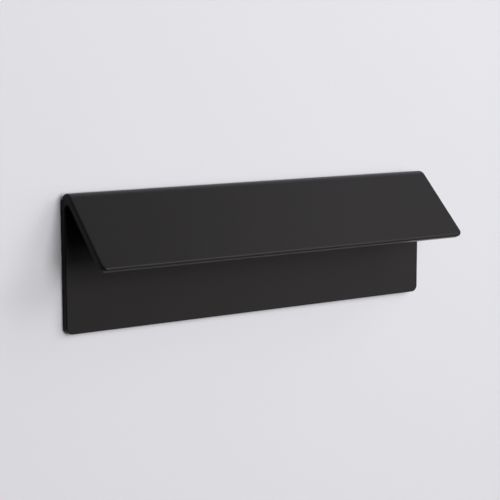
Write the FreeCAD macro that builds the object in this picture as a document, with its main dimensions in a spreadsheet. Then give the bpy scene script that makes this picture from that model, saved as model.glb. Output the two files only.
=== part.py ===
import FreeCAD, Part
import math
import os
import Sketcher
from FreeCAD import Vector

# Tab pull, made in one piece: an upright back plate, a rounded ridge along its top, and a flap that
# slopes forward and down from the ridge, with the finger space behind it.
# X runs along the pull, -Y is the front, +Y the door or drawer it is fixed to, and Z is up.
# The origin lies on the back face, midway between the two screw holes. Sizes are in millimetres.

# Driving dimensions, each the value of one named cell in the sheet.
DIMENSIONS = {
    "overall_length": 152.4,       # end to end along X
    "plate_height": 47.0,          # lower edge of the plate to the top of the ridge
    "plate_thickness": 2.7,
    "flap_thickness": 2.7,
    "flap_reach": 28.65,           # back face to the lower front corner of the flap, before softening
    "flap_angle": 46.0,            # degrees between the flap and the plate
    "tip_lean": 23.5,              # degrees by which the lower edge of the flap is cut under, off square
    "ridge_radius": 3.9,           # outside of the bend
    "hollow_radius": 2.0,          # inside of the bend, at the top of the finger space
    "corner_radius": 2.3,          # lower corners of the plate and of the flap
    "outer_edge_radius": 0.75,     # softened edges of the outer side: flap front, ridge and back
    "inner_edge_radius": 0.3,      # softened edges of the inner side: flap back, hollow and plate front
    "screw_spacing": 96.0,         # centre to centre
    "screw_height": 27.0,          # lower edge of the plate to the screw line
    "screw_diameter": 4.0,         # outside diameter of the screw thread
    "mouth_diameter": 4.8,         # chamfered lead-in at the back face
    "mouth_angle": 90.0,           # degrees, included angle of the lead-in
    "drill_run_out": 0.6,          # how far the drill passes beyond the front of the plate
}

# Points of a sketched line or arc, and the two axes of a sketch, by the numbers constraints take.
# The start of the level axis is the sketch's origin.
START, END, CENTRE = range(1, 4)
UPRIGHT_AXIS, LEVEL_AXIS = range(-2, 0)

doc = FreeCAD.newDocument("TabPull")


def make_sheet():
    sheet = doc.addObject("Spreadsheet::Sheet", "Dimensions")
    for row, (name, value) in enumerate(DIMENSIONS.items(), start=1):
        sheet.set(f"A{row}", name.replace("_", " "))
        sheet.set(f"B{row}", str(value))
        sheet.setAlias(f"B{row}", name)
    doc.recompute()
    return sheet


def sketch_on(body, role, name):
    sketch = body.newObject("Sketcher::SketchObject", name)
    plane = next(item for item in body.Origin.OriginFeatures if item.Role == role)
    sketch.AttachmentSupport = [(plane, "")]
    sketch.MapMode = "FlatFace"
    return sketch


def drive(sketch, name, formula, constraint):
    sketch.renameConstraint(sketch.addConstraint(constraint), name)
    sketch.setExpression(f"Constraints.{name}", formula)


def section_points(sheet):
    # Corners, tangent points and bend centres of the section, as (Y, Z) in the plane across the pull.
    slope = math.radians(sheet.flap_angle)
    down_flap = Vector(-math.sin(slope), -math.cos(slope), 0)
    out_of_flap = Vector(-math.cos(slope), math.sin(slope), 0)
    bottom = -sheet.screw_height
    ridge_z = bottom + sheet.plate_height - sheet.ridge_radius

    ridge_centre = Vector(-sheet.ridge_radius, ridge_z, 0)
    flap_top = ridge_centre + out_of_flap * sheet.ridge_radius
    flap_length = (sheet.flap_reach + flap_top.x) / math.sin(slope)
    tip_front = flap_top + down_flap * flap_length
    cut_back = sheet.flap_thickness * math.tan(math.radians(sheet.tip_lean))
    tip_back = tip_front - out_of_flap * sheet.flap_thickness - down_flap * cut_back

    hollow_y = -sheet.plate_thickness - sheet.hollow_radius
    hollow_z = (tip_back.dot(out_of_flap) - sheet.hollow_radius - hollow_y * out_of_flap.x) / out_of_flap.y
    hollow_centre = Vector(hollow_y, hollow_z, 0)
    return {
        "foot_back": Vector(0, bottom, 0),
        "foot_front": Vector(-sheet.plate_thickness, bottom, 0),
        "plate_top": Vector(-sheet.plate_thickness, hollow_z, 0),
        "hollow_centre": hollow_centre,
        "flap_root": hollow_centre + out_of_flap * sheet.hollow_radius,
        "tip_back": tip_back,
        "tip_front": tip_front,
        "flap_top": flap_top,
        "ridge_centre": ridge_centre,
        "back_top": Vector(0, ridge_z, 0),
    }


def arc_between(centre, radius, start, end):
    # Counter-clockwise from start to end, seen with Y to the right and Z up.
    first = math.atan2(start.y - centre.y, start.x - centre.x)
    last = math.atan2(end.y - centre.y, end.x - centre.x)
    return Part.ArcOfCircle(Part.Circle(centre, Vector(0, 0, 1), radius), first, last)


def draw_section(body, sheet):
    sketch = sketch_on(body, "YZ_Plane", "Section")
    at = section_points(sheet)
    foot = sketch.addGeometry(Part.LineSegment(at["foot_back"], at["foot_front"]))
    plate_front = sketch.addGeometry(Part.LineSegment(at["foot_front"], at["plate_top"]))
    hollow = sketch.addGeometry(
        arc_between(at["hollow_centre"], sheet.hollow_radius, at["plate_top"], at["flap_root"]))
    flap_back = sketch.addGeometry(Part.LineSegment(at["flap_root"], at["tip_back"]))
    tip = sketch.addGeometry(Part.LineSegment(at["tip_back"], at["tip_front"]))
    flap_front = sketch.addGeometry(Part.LineSegment(at["tip_front"], at["flap_top"]))
    ridge = sketch.addGeometry(
        arc_between(at["ridge_centre"], sheet.ridge_radius, at["back_top"], at["flap_top"]))
    back = sketch.addGeometry(Part.LineSegment(at["back_top"], at["foot_back"]))

    sketch.addConstraint([
        Sketcher.Constraint("Coincident", foot, END, plate_front, START),
        Sketcher.Constraint("Tangent", plate_front, END, hollow, START),
        Sketcher.Constraint("Tangent", hollow, END, flap_back, START),
        Sketcher.Constraint("Coincident", flap_back, END, tip, START),
        Sketcher.Constraint("Coincident", tip, END, flap_front, START),
        Sketcher.Constraint("Tangent", flap_front, END, ridge, END),
        Sketcher.Constraint("Tangent", ridge, START, back, START),
        Sketcher.Constraint("Coincident", back, END, foot, START),
        Sketcher.Constraint("Horizontal", foot),
        Sketcher.Constraint("Vertical", plate_front),
        Sketcher.Constraint("Vertical", back),
        Sketcher.Constraint("PointOnObject", back, END, UPRIGHT_AXIS),
        Sketcher.Constraint("Parallel", flap_back, flap_front),
    ])
    bottom_to_origin = Sketcher.Constraint("DistanceY", foot, START, LEVEL_AXIS, START, sheet.screw_height)
    bottom_to_ridge = Sketcher.Constraint(
        "DistanceY", foot, START, ridge, CENTRE, sheet.plate_height - sheet.ridge_radius)
    plate_wall = Sketcher.Constraint("DistanceX", foot, END, foot, START, sheet.plate_thickness)
    flap_wall = Sketcher.Constraint("Distance", flap_back, END, flap_front, sheet.flap_thickness)
    tip_to_back = Sketcher.Constraint("DistanceX", tip, END, LEVEL_AXIS, START, sheet.flap_reach)
    flap_rise = Sketcher.Constraint("Angle", flap_front, math.radians(90 - sheet.flap_angle))
    tip_cut = Sketcher.Constraint("Angle", tip, math.radians(180 - sheet.flap_angle + sheet.tip_lean))
    ridge_bend = Sketcher.Constraint("Radius", ridge, sheet.ridge_radius)
    hollow_bend = Sketcher.Constraint("Radius", hollow, sheet.hollow_radius)
    drive(sketch, "bottom_to_origin", "Dimensions.screw_height", bottom_to_origin)
    drive(sketch, "bottom_to_ridge", "Dimensions.plate_height - Dimensions.ridge_radius", bottom_to_ridge)
    drive(sketch, "plate_wall", "Dimensions.plate_thickness", plate_wall)
    drive(sketch, "flap_wall", "Dimensions.flap_thickness", flap_wall)
    drive(sketch, "tip_to_back", "Dimensions.flap_reach", tip_to_back)
    drive(sketch, "flap_rise", "90 - Dimensions.flap_angle", flap_rise)
    drive(sketch, "tip_cut", "180 - Dimensions.flap_angle + Dimensions.tip_lean", tip_cut)
    drive(sketch, "ridge_bend", "Dimensions.ridge_radius", ridge_bend)
    drive(sketch, "hollow_bend", "Dimensions.hollow_radius", hollow_bend)
    doc.recompute()
    return sketch, at


def pad_section(body, sketch):
    pad = body.newObject("PartDesign::Pad", "SectionLength")
    pad.Profile = sketch
    pad.SideType = "Symmetric"
    pad.setExpression("Length", "Dimensions.overall_length")
    doc.recompute()
    return pad


def edges_at(solid, middles):
    return [
        f"Edge{number}" for number, edge in enumerate(solid.Edges, start=1)
        if any(edge.CenterOfMass.isEqual(middle, 1e-4) for middle in middles)
    ]


def corner_edges(solid, sheet, at):
    # The edges where the foot and the tip of the section meet the two end faces.
    middles = []
    for near, far in (("foot_back", "foot_front"), ("tip_back", "tip_front")):
        middle = (at[near] + at[far]) * 0.5
        for end_x in (-sheet.overall_length / 2, sheet.overall_length / 2):
            middles.append(Vector(end_x, middle.x, middle.y))
    return edges_at(solid, middles)


def long_edge(solid, point):
    # The edge that runs the length of the pull through one corner of the section.
    return edges_at(solid, [Vector(0, point.x, point.y)])


def round_edges(body, base, name, edges, formula):
    rounding = body.newObject("PartDesign::Fillet", name)
    rounding.Base = (base, edges)
    rounding.setExpression("Radius", formula)
    doc.recompute()
    return rounding


def draw_screw_line(body, sheet):
    sketch = sketch_on(body, "XZ_Plane", "ScrewLine")
    half = sheet.screw_spacing / 2
    circles = []
    for side in (-1, 1):
        ring = Part.Circle(Vector(side * half, 0, 0), Vector(0, 0, 1), sheet.screw_diameter / 2)
        circles.append(sketch.addGeometry(ring))
    left, right = circles
    sketch.addConstraint([
        Sketcher.Constraint("PointOnObject", left, CENTRE, LEVEL_AXIS),
        Sketcher.Constraint("Symmetric", left, CENTRE, right, CENTRE, UPRIGHT_AXIS),
        Sketcher.Constraint("Equal", left, right),
    ])
    spacing = Sketcher.Constraint("DistanceX", left, CENTRE, right, CENTRE, sheet.screw_spacing)
    diameter = Sketcher.Constraint("Diameter", left, sheet.screw_diameter)
    drive(sketch, "spacing", "Dimensions.screw_spacing", spacing)
    drive(sketch, "diameter", "Dimensions.screw_diameter", diameter)
    doc.recompute()
    return sketch


def drill_screw_holes(body, sketch):
    # Drilled from the back through the plate alone, so the flap in front stays whole.
    hole = body.newObject("PartDesign::Hole", "ScrewHoles")
    hole.Profile = sketch
    doc.recompute()
    hole.Reversed = True
    hole.DepthType = "Dimension"
    hole.DrillPoint = "Flat"
    hole.HoleCutType = "Countersink"
    hole.HoleCutCustomValues = True
    hole.setExpression("Diameter", "Dimensions.screw_diameter")
    hole.setExpression("Depth", "Dimensions.plate_thickness + Dimensions.drill_run_out")
    hole.setExpression("HoleCutDiameter", "Dimensions.mouth_diameter")
    hole.setExpression("HoleCutCountersinkAngle", "Dimensions.mouth_angle")
    doc.recompute()
    return hole


def make_pull():
    sheet = make_sheet()
    body = doc.addObject("PartDesign::Body", "Pull")
    body.Label = "tab_pull"
    section, at = draw_section(body, sheet)
    pad = pad_section(body, section)
    corners = round_edges(
        body, pad, "Corners", corner_edges(pad.Shape, sheet, at), "Dimensions.corner_radius")
    # The edges of each side of the bent strip run on smoothly in one loop, and all of it is rounded
    # along with the edge at the tip.
    tip_edge = long_edge(corners.Shape, at["tip_front"])
    outer = round_edges(body, corners, "OuterEdges", tip_edge, "Dimensions.outer_edge_radius")
    tip_edge = long_edge(outer.Shape, at["tip_back"])
    inner = round_edges(body, outer, "InnerEdges", tip_edge, "Dimensions.inner_edge_radius")
    undrilled = inner.Shape.Volume
    holes = drill_screw_holes(body, draw_screw_line(body, sheet))
    body.Tip = holes
    body.Placement = FreeCAD.Placement()
    doc.recompute()

    # The two holes take away at least their own plain bores through the plate.
    bore = math.pi * (sheet.screw_diameter / 2) ** 2 * sheet.plate_thickness
    removed = undrilled - holes.Shape.Volume
    if removed < 2 * bore * 0.999:
        raise RuntimeError(f"the screw holes took away {removed:.2f} mm3, under {2 * bore:.2f} mm3")
    return body


def check_document(parts):
    for item in doc.Objects:
        if "Invalid" in item.State or "Error" in item.State:
            raise RuntimeError(f"{item.Name} failed: {item.State}")
    for part in parts:
        if part.Shape.isNull() or not part.Shape.isValid():
            raise RuntimeError(f"{part.Label} has no valid shape")


def write_parts(parts):
    os.makedirs("parts", exist_ok=True)
    for part in parts:
        part.Shape.exportStep(f"parts/{part.Label}.step")
        box = part.Shape.BoundBox
        print(f"{part.Label}: {part.Shape.Volume / 1000:.2f} cm3, {len(part.Shape.Solids)} solid,"
              f" {box.XLength:.2f} x {box.YLength:.2f} x {box.ZLength:.2f} mm")


pull = make_pull()
check_document([pull])
write_parts([pull])
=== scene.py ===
import math
import bmesh
import bpy
from mathutils import Matrix, Vector


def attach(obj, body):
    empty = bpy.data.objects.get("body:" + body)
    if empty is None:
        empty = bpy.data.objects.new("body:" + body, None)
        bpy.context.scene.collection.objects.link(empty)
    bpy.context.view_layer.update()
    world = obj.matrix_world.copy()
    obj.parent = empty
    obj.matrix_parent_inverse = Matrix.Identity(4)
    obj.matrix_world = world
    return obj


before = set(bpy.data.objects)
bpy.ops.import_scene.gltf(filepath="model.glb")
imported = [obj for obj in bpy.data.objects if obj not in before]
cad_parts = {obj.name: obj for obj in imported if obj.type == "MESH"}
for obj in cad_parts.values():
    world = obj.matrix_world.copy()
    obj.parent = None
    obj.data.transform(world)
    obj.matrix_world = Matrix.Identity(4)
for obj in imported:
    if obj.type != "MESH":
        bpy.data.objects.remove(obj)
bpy.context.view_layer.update()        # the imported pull, in metres, back face on Y = 0
print("frame loaded:", ", ".join(sorted(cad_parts)))


class Wire:
    # one output socket of a node tree, so that shader sums read as plain expressions
    def __init__(self, finish, socket):
        self.finish = finish
        self.socket = socket

    def sum(self, operation, first, second):
        return self.finish.node("ShaderNodeMath", {"operation": operation}, {0: first, 1: second})

    def __add__(self, other):
        return self.sum("ADD", self, other)

    def __radd__(self, other):
        return self.sum("ADD", other, self)

    def __sub__(self, other):
        return self.sum("SUBTRACT", self, other)

    def __rsub__(self, other):
        return self.sum("SUBTRACT", other, self)

    def __mul__(self, other):
        return self.sum("MULTIPLY", self, other)

    def __rmul__(self, other):
        return self.sum("MULTIPLY", other, self)

    def __lt__(self, other):
        return self.sum("LESS_THAN", self, other)

    def __gt__(self, other):
        return self.sum("GREATER_THAN", self, other)


class Finish:
    # a material or world whose nodes are added one call at a time
    def __init__(self, owner):
        owner.use_nodes = True
        self.tree = owner.node_tree
        self.tree.nodes.clear()

    def node(self, kind, settings=None, sockets=None, out=0):
        made = self.tree.nodes.new(kind)
        for name, value in (settings or {}).items():
            setattr(made, name, value)
        for name, value in (sockets or {}).items():
            if isinstance(value, Wire):
                self.tree.links.new(value.socket, made.inputs[name])
            else:
                made.inputs[name].default_value = value
        return Wire(self, made.outputs[out]) if made.outputs else None

    def noise(self, place, scale, detail):
        sockets = {"Vector": place, "Scale": scale, "Detail": detail}
        return self.node("ShaderNodeTexNoise", {}, sockets)

    def mixColour(self, share, first, second):
        # several sockets of a Mix node have the same name, so the colour ones go by number
        return self.node("ShaderNodeMix", {"data_type": "RGBA"}, {0: share, 6: first, 7: second}, out=2)


# camera: where the photograph was taken from, in metres and degrees
photoCamera = {
    "lens": 103.13,       # millimetres, as is the sensor
    "sensor": 36.0,
    "place": (-0.29058, -0.41798, 0.06467),
    "turn": 34.726,       # to the right of straight at the wall
    "tilt": 7.797,        # downwards
    "roll": -0.205,
    "near": 0.01,
    "far": 20,
}


def makeCamera(facts):
    lens = bpy.data.cameras.new("photoCamera")
    lens.lens = facts["lens"]
    lens.sensor_width = facts["sensor"]
    lens.clip_start = facts["near"]
    lens.clip_end = facts["far"]
    camera = bpy.data.objects.new("photoCamera", lens)
    bpy.context.scene.collection.objects.link(camera)
    turn = Matrix.Rotation(-math.radians(facts["turn"]), 4, "Z")
    tilt = Matrix.Rotation(math.radians(90 - facts["tilt"]), 4, "X")
    roll = Matrix.Rotation(math.radians(facts["roll"]), 4, "Z")
    camera.matrix_world = Matrix.Translation(facts["place"]) @ turn @ tilt @ roll
    bpy.context.scene.camera = camera
    print("camera placed, lens", facts["lens"], "mm")


makeCamera(photoCamera)


# black coat on the pull: satin paint, with painted shade (a darker colour and weaker gloss) over the sawn
# ends and round the flap's lower corners, with fine draw lines and a little dust
blackCoat = {
    "colour": (0.0163, 0.0157, 0.0160, 1),
    "gloss": 0.187,
    "glossTint": (1.0, 0.925, 0.965, 1),
    "roughness": 0.33,
    # painted shade: a darker coat colour for the sawn ends and the flap's lower corners
    "endShadeColour": (0.0060, 0.0057, 0.0059, 1),
    "endGloss": 0.055,
    "endRoughness": 0.5,
    "endStart": 0.0756,           # metres from the middle, where the painted shade on the sawn end begins
    "endWidth": 0.0005,           # over which it comes in
    "flapAngle": math.radians(46),
    "cornerStart": 0.0198,        # metres down the flap, where its lower corners begin to turn
    "cornerSlant": 0.5,           # how fast the painted shade follows the corner round
    "cloudScale": 60,
    "cloudSpread": 0.04,          # how far the roughness drifts over a few centimetres
    "lineScale": 900,
    "lineStretch": (0.02, 1, 1),  # draws the lines out along the pull
    "lineSpread": 0.03,
    "grainScale": 2600,
    "grainSpread": 0.1,
    "grainDepth": 0.000007,       # metres
    "dustColour": (0.05, 0.05, 0.055, 1),
    "dustCell": 0.011,            # metres between specks
    "dustSize": 0.00014,
    "dustPick": 0.55,             # only cells with a lighter random grey than this hold a speck
    "dustCover": 0.8,
    "dustDulling": 0.3,
}
noiseMiddle = 0.5                 # what a noise texture averages


def makeBlackCoat(facts):
    material = bpy.data.materials.new("blackCoat")
    coat = Finish(material)
    place = coat.node("ShaderNodeTexCoord", out="Object")
    stretch = {0: place, 1: facts["lineStretch"]}
    lengthwise = coat.node("ShaderNodeVectorMath", {"operation": "MULTIPLY"}, stretch)
    cloud = coat.noise(place, facts["cloudScale"], detail=2)
    lines = coat.noise(lengthwise, facts["lineScale"], detail=3)
    grain = coat.noise(place, facts["grainScale"], detail=2)
    spots = {"Vector": place, "Scale": 1 / facts["dustCell"]}
    reach = coat.node("ShaderNodeTexVoronoi", {}, spots, out="Distance")
    pick = coat.node("ShaderNodeTexVoronoi", {}, spots, out="Color")
    dust = (reach < facts["dustSize"] / facts["dustCell"]) * (pick > facts["dustPick"])
    colour = coat.mixColour(dust * facts["dustCover"], facts["colour"], facts["dustColour"])
    drift = (cloud - noiseMiddle) * facts["cloudSpread"] + (lines - noiseMiddle) * facts["lineSpread"]
    drift = drift + (grain - noiseMiddle) * facts["grainSpread"] + dust * facts["dustDulling"]
    relief = coat.node("ShaderNodeBump", {}, {"Height": grain, "Distance": facts["grainDepth"]})
    faces = coat.node("ShaderNodeBsdfPrincipled", {}, {
        "Base Color": colour,
        "Roughness": drift + facts["roughness"],
        "Specular IOR Level": facts["gloss"],
        "Specular Tint": facts["glossTint"],
        "Normal": relief,
    })
    # painted shade: the darker, less glossy coat on the ends and the flap's lower corners
    shadedEnds = coat.node("ShaderNodeBsdfPrincipled", {}, {
        "Base Color": facts["endShadeColour"],
        "Roughness": drift + facts["endRoughness"],
        "Specular IOR Level": facts["endGloss"],
        "Specular Tint": facts["glossTint"],
        "Normal": relief,
    })
    # painted shade, a darker colour and weaker gloss, on the sawn ends: far enough from the middle, and a
    # little sooner round the lower corners of the flap
    along = coat.node("ShaderNodeSeparateXYZ", {}, {0: place}, out="X")
    fromMiddle = coat.node("ShaderNodeMath", {"operation": "ABSOLUTE"}, {0: along})
    downFlap = coat.node("ShaderNodeVectorMath", {"operation": "DOT_PRODUCT"}, {
        0: place,
        1: (0, -math.sin(facts["flapAngle"]), -math.cos(facts["flapAngle"])),
    }, out="Value")
    pastStart = downFlap - facts["cornerStart"]
    corner = coat.node("ShaderNodeMath", {"operation": "MAXIMUM"}, {0: pastStart, 1: 0.0})
    endShade = coat.node("ShaderNodeMapRange", {}, {
        "Value": fromMiddle + corner * facts["cornerSlant"],
        "From Min": facts["endStart"],
        "From Max": facts["endStart"] + facts["endWidth"],
    })
    surface = coat.node("ShaderNodeMixShader", {}, {0: endShade, 1: faces, 2: shadedEnds})
    coat.node("ShaderNodeOutputMaterial", {}, {"Surface": surface})
    return material


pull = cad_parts["tab_pull"]
pull.data.materials[0] = makeBlackCoat(blackCoat)
print("black coat on the pull")


# threads of the two screw holes, metric M4 by 0.7, cut in the bare metal
screwThread = {
    "spacing": 0.096,
    "outer": 0.00202,        # radius, sunk a hair into the wall of the hole
    "inner": 0.00162,
    "pitch": 0.0007,
    "foot": 0.00054,         # width of a turn at the wall
    "crest": 0.00009,
    "first": -0.00240,       # middle of the innermost turn, measured from the back face
    "turns": 2.5,
    "steps": 36,             # for each turn
    "dark": (0.50, 0.50, 0.51, 1),
    "light": (0.72, 0.72, 0.73, 1),
    "streakScale": 9000,
    "roughness": 0.22,
    "roughSpread": 0.2,
}


def makeBareThread(facts):
    material = bpy.data.materials.new("bareThread")
    metal = Finish(material)
    place = metal.node("ShaderNodeTexCoord", out="Object")
    streak = metal.noise(place, facts["streakScale"], detail=3)
    surface = metal.node("ShaderNodeBsdfPrincipled", {}, {
        "Base Color": metal.mixColour(streak, facts["dark"], facts["light"]),
        "Metallic": 1.0,
        "Roughness": streak * facts["roughSpread"] + facts["roughness"],
    })
    metal.node("ShaderNodeOutputMaterial", {}, {"Surface": surface})
    return material


def makeThread(name, facts, side, material):
    centre = Vector((side * facts["spacing"] / 2, 0, 0))
    foot = facts["foot"] / 2
    crest = facts["crest"] / 2
    outline = [
        (facts["outer"], -foot),
        (facts["inner"], -crest),
        (facts["inner"], crest),
        (facts["outer"], foot),
    ]
    shape = bmesh.new()
    corners = [shape.verts.new(centre + Vector((out, facts["first"] + along, 0))) for out, along in outline]
    loop = [shape.edges.new((corners[i - 1], corners[i])) for i in range(len(corners))]
    steps = round(facts["turns"] * facts["steps"])
    swept = bmesh.ops.spin(
        shape, geom=corners + loop, cent=centre, axis=(0, 1, 0), angle=facts["turns"] * 2 * math.pi,
        dvec=(0, facts["turns"] * facts["pitch"] / steps, 0), steps=steps)
    lastEdges = [item for item in swept["geom_last"] if isinstance(item, bmesh.types.BMEdge)]
    bmesh.ops.contextual_create(shape, geom=loop)
    bmesh.ops.contextual_create(shape, geom=lastEdges)
    bmesh.ops.recalc_face_normals(shape, faces=shape.faces)
    mesh = bpy.data.meshes.new(name)
    shape.to_mesh(mesh)
    shape.free()
    mesh.materials.append(material)
    thread = bpy.data.objects.new(name, mesh)
    bpy.context.scene.collection.objects.link(thread)
    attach(thread, "root")


bareThread = makeBareThread(screwThread)
makeThread("screw_thread_left", screwThread, -1, bareThread)
makeThread("screw_thread_right", screwThread, 1, bareThread)
print("threads cut in the screw holes")


# wall behind the pull, open under the plate and clear from behind, so that the back can be seen and lit
wallFacts = {
    "gap": 0.0002,           # metres behind the back face
    "half": 1.2,             # half of its width and height
    "window": (-0.0754, -0.0262, 0.0754, 0.0160),    # left, bottom, right, top
    "colour": (0.798, 0.802, 0.832, 1),
    "roughness": 0.9,
    "gloss": 0.1,
    "mottleScale": 700,
    "mottleDepth": 0.00002,  # metres
}


def makeWallPaint(facts):
    material = bpy.data.materials.new("wallPaint")
    paint = Finish(material)
    place = paint.node("ShaderNodeTexCoord", out="Object")
    mottle = paint.noise(place, facts["mottleScale"], detail=3)
    relief = paint.node("ShaderNodeBump", {}, {"Height": mottle, "Distance": facts["mottleDepth"]})
    front = paint.node("ShaderNodeBsdfPrincipled", {}, {
        "Base Color": facts["colour"],
        "Roughness": facts["roughness"],
        "Specular IOR Level": facts["gloss"],
        "Normal": relief,
    })
    clear = paint.node("ShaderNodeBsdfTransparent")
    behind = paint.node("ShaderNodeNewGeometry", out="Backfacing")
    both = paint.node("ShaderNodeMixShader", {}, {0: behind, 1: front, 2: clear})
    paint.node("ShaderNodeOutputMaterial", {}, {"Surface": both})
    return material


def makeWall(facts):
    left, bottom, right, top = facts["window"]
    upright = Matrix.Translation((0, facts["gap"], 0)) @ Matrix.Rotation(math.radians(90), 4, "X")
    shape = bmesh.new()
    bmesh.ops.create_grid(shape, x_segments=1, y_segments=1, size=facts["half"], matrix=upright)
    cuts = [
        ((left, 0, 0), (1, 0, 0)),
        ((right, 0, 0), (1, 0, 0)),
        ((0, 0, bottom), (0, 0, 1)),
        ((0, 0, top), (0, 0, 1)),
    ]
    for point, across in cuts:
        whole = shape.verts[:] + shape.edges[:] + shape.faces[:]
        bmesh.ops.bisect_plane(shape, geom=whole, plane_co=point, plane_no=across)
    middles = [(face, face.calc_center_median()) for face in shape.faces]
    opening = [face for face, middle in middles if left < middle.x < right and bottom < middle.z < top]
    bmesh.ops.delete(shape, geom=opening, context="FACES")
    mesh = bpy.data.meshes.new("wall")
    shape.to_mesh(mesh)
    shape.free()
    mesh.materials.append(makeWallPaint(facts))
    wall = bpy.data.objects.new("wall", mesh)
    bpy.context.scene.collection.objects.link(wall)
    print("wall behind the pull")


makeWall(wallFacts)


# soft lights, aimed at the pull: degrees to the right of straight out and upwards, metres, watts
lamps = {
    "front": {"turn": 2, "rise": 9, "size": (0.6, 0.6), "power": 13.9},
    "frontHigh": {"turn": 0, "rise": 22, "size": (0.6, 0.4), "power": 1.5},
    "frontRight": {"turn": 28, "rise": 26, "size": (0.6, 0.4), "power": 1.8},
    "right": {"turn": 46, "rise": 22, "size": (0.7, 0.45), "power": 4.0},
    "aboveRight": {"turn": 44, "rise": 38, "size": (0.6, 0.4), "power": 1.5},
    "highRight": {"turn": 53, "rise": 49.5, "size": (1.0, 0.5), "power": 1.95},
    "low": {"turn": 37, "rise": -8, "size": (0.5, 0.4), "power": 0.75},
    "lowRight": {"turn": 54, "rise": -15, "size": (0.9, 0.7), "power": 1.2},
    "rearRight": {"turn": 145, "rise": -4, "size": (1.4, 1.2), "power": 11.0},
    "rearLeft": {"turn": 215, "rise": -4, "size": (1.4, 1.2), "power": 11.0},
}
lampDistance = 1.5
lampColour = (1.0, 0.985, 0.995)    # white with a trace of pink


def makeLamps(rows):
    for name, facts in rows.items():
        turn = math.radians(facts["turn"])
        rise = math.radians(facts["rise"])
        out = Vector((math.sin(turn) * math.cos(rise), -math.cos(turn) * math.cos(rise), math.sin(rise)))
        light = bpy.data.lights.new(name, "AREA")
        light.shape = "RECTANGLE"
        light.size, light.size_y = facts["size"]
        light.energy = facts["power"]
        light.color = lampColour
        lamp = bpy.data.objects.new(name, light)
        bpy.context.scene.collection.objects.link(lamp)
        lamp.location = out * lampDistance
        lamp.rotation_euler = (-out).to_track_quat("-Z", "Y").to_euler()
        lamp.visible_camera = False
    print("lamps lit:", ", ".join(rows))


makeLamps(lamps)


# room round the wall: pale to the eye, faint in the black coat, dim as a light
room = {
    "pale": (0.66, 0.655, 0.685, 1),
    "glow": (0.004, 0.004, 0.004, 1),
    "faint": 0.1,            # share of the pale tone that the coat mirrors
}


def makeRoom(facts):
    world = bpy.data.worlds.new("room")
    bpy.context.scene.world = world
    studio = Finish(world)
    rays = ("Is Camera Ray", "Is Transmission Ray", "Is Glossy Ray")
    eye, glass, gloss = [studio.node("ShaderNodeLightPath", out=ray) for ray in rays]
    seen = eye + glass + gloss * facts["faint"]
    tone = studio.mixColour(seen, facts["glow"], facts["pale"])
    air = studio.node("ShaderNodeBackground", {}, {"Color": tone})
    studio.node("ShaderNodeOutputWorld", {}, {"Surface": air})
    print("room set")


makeRoom(room)
bpy.context.scene.view_settings.view_transform = "Standard"
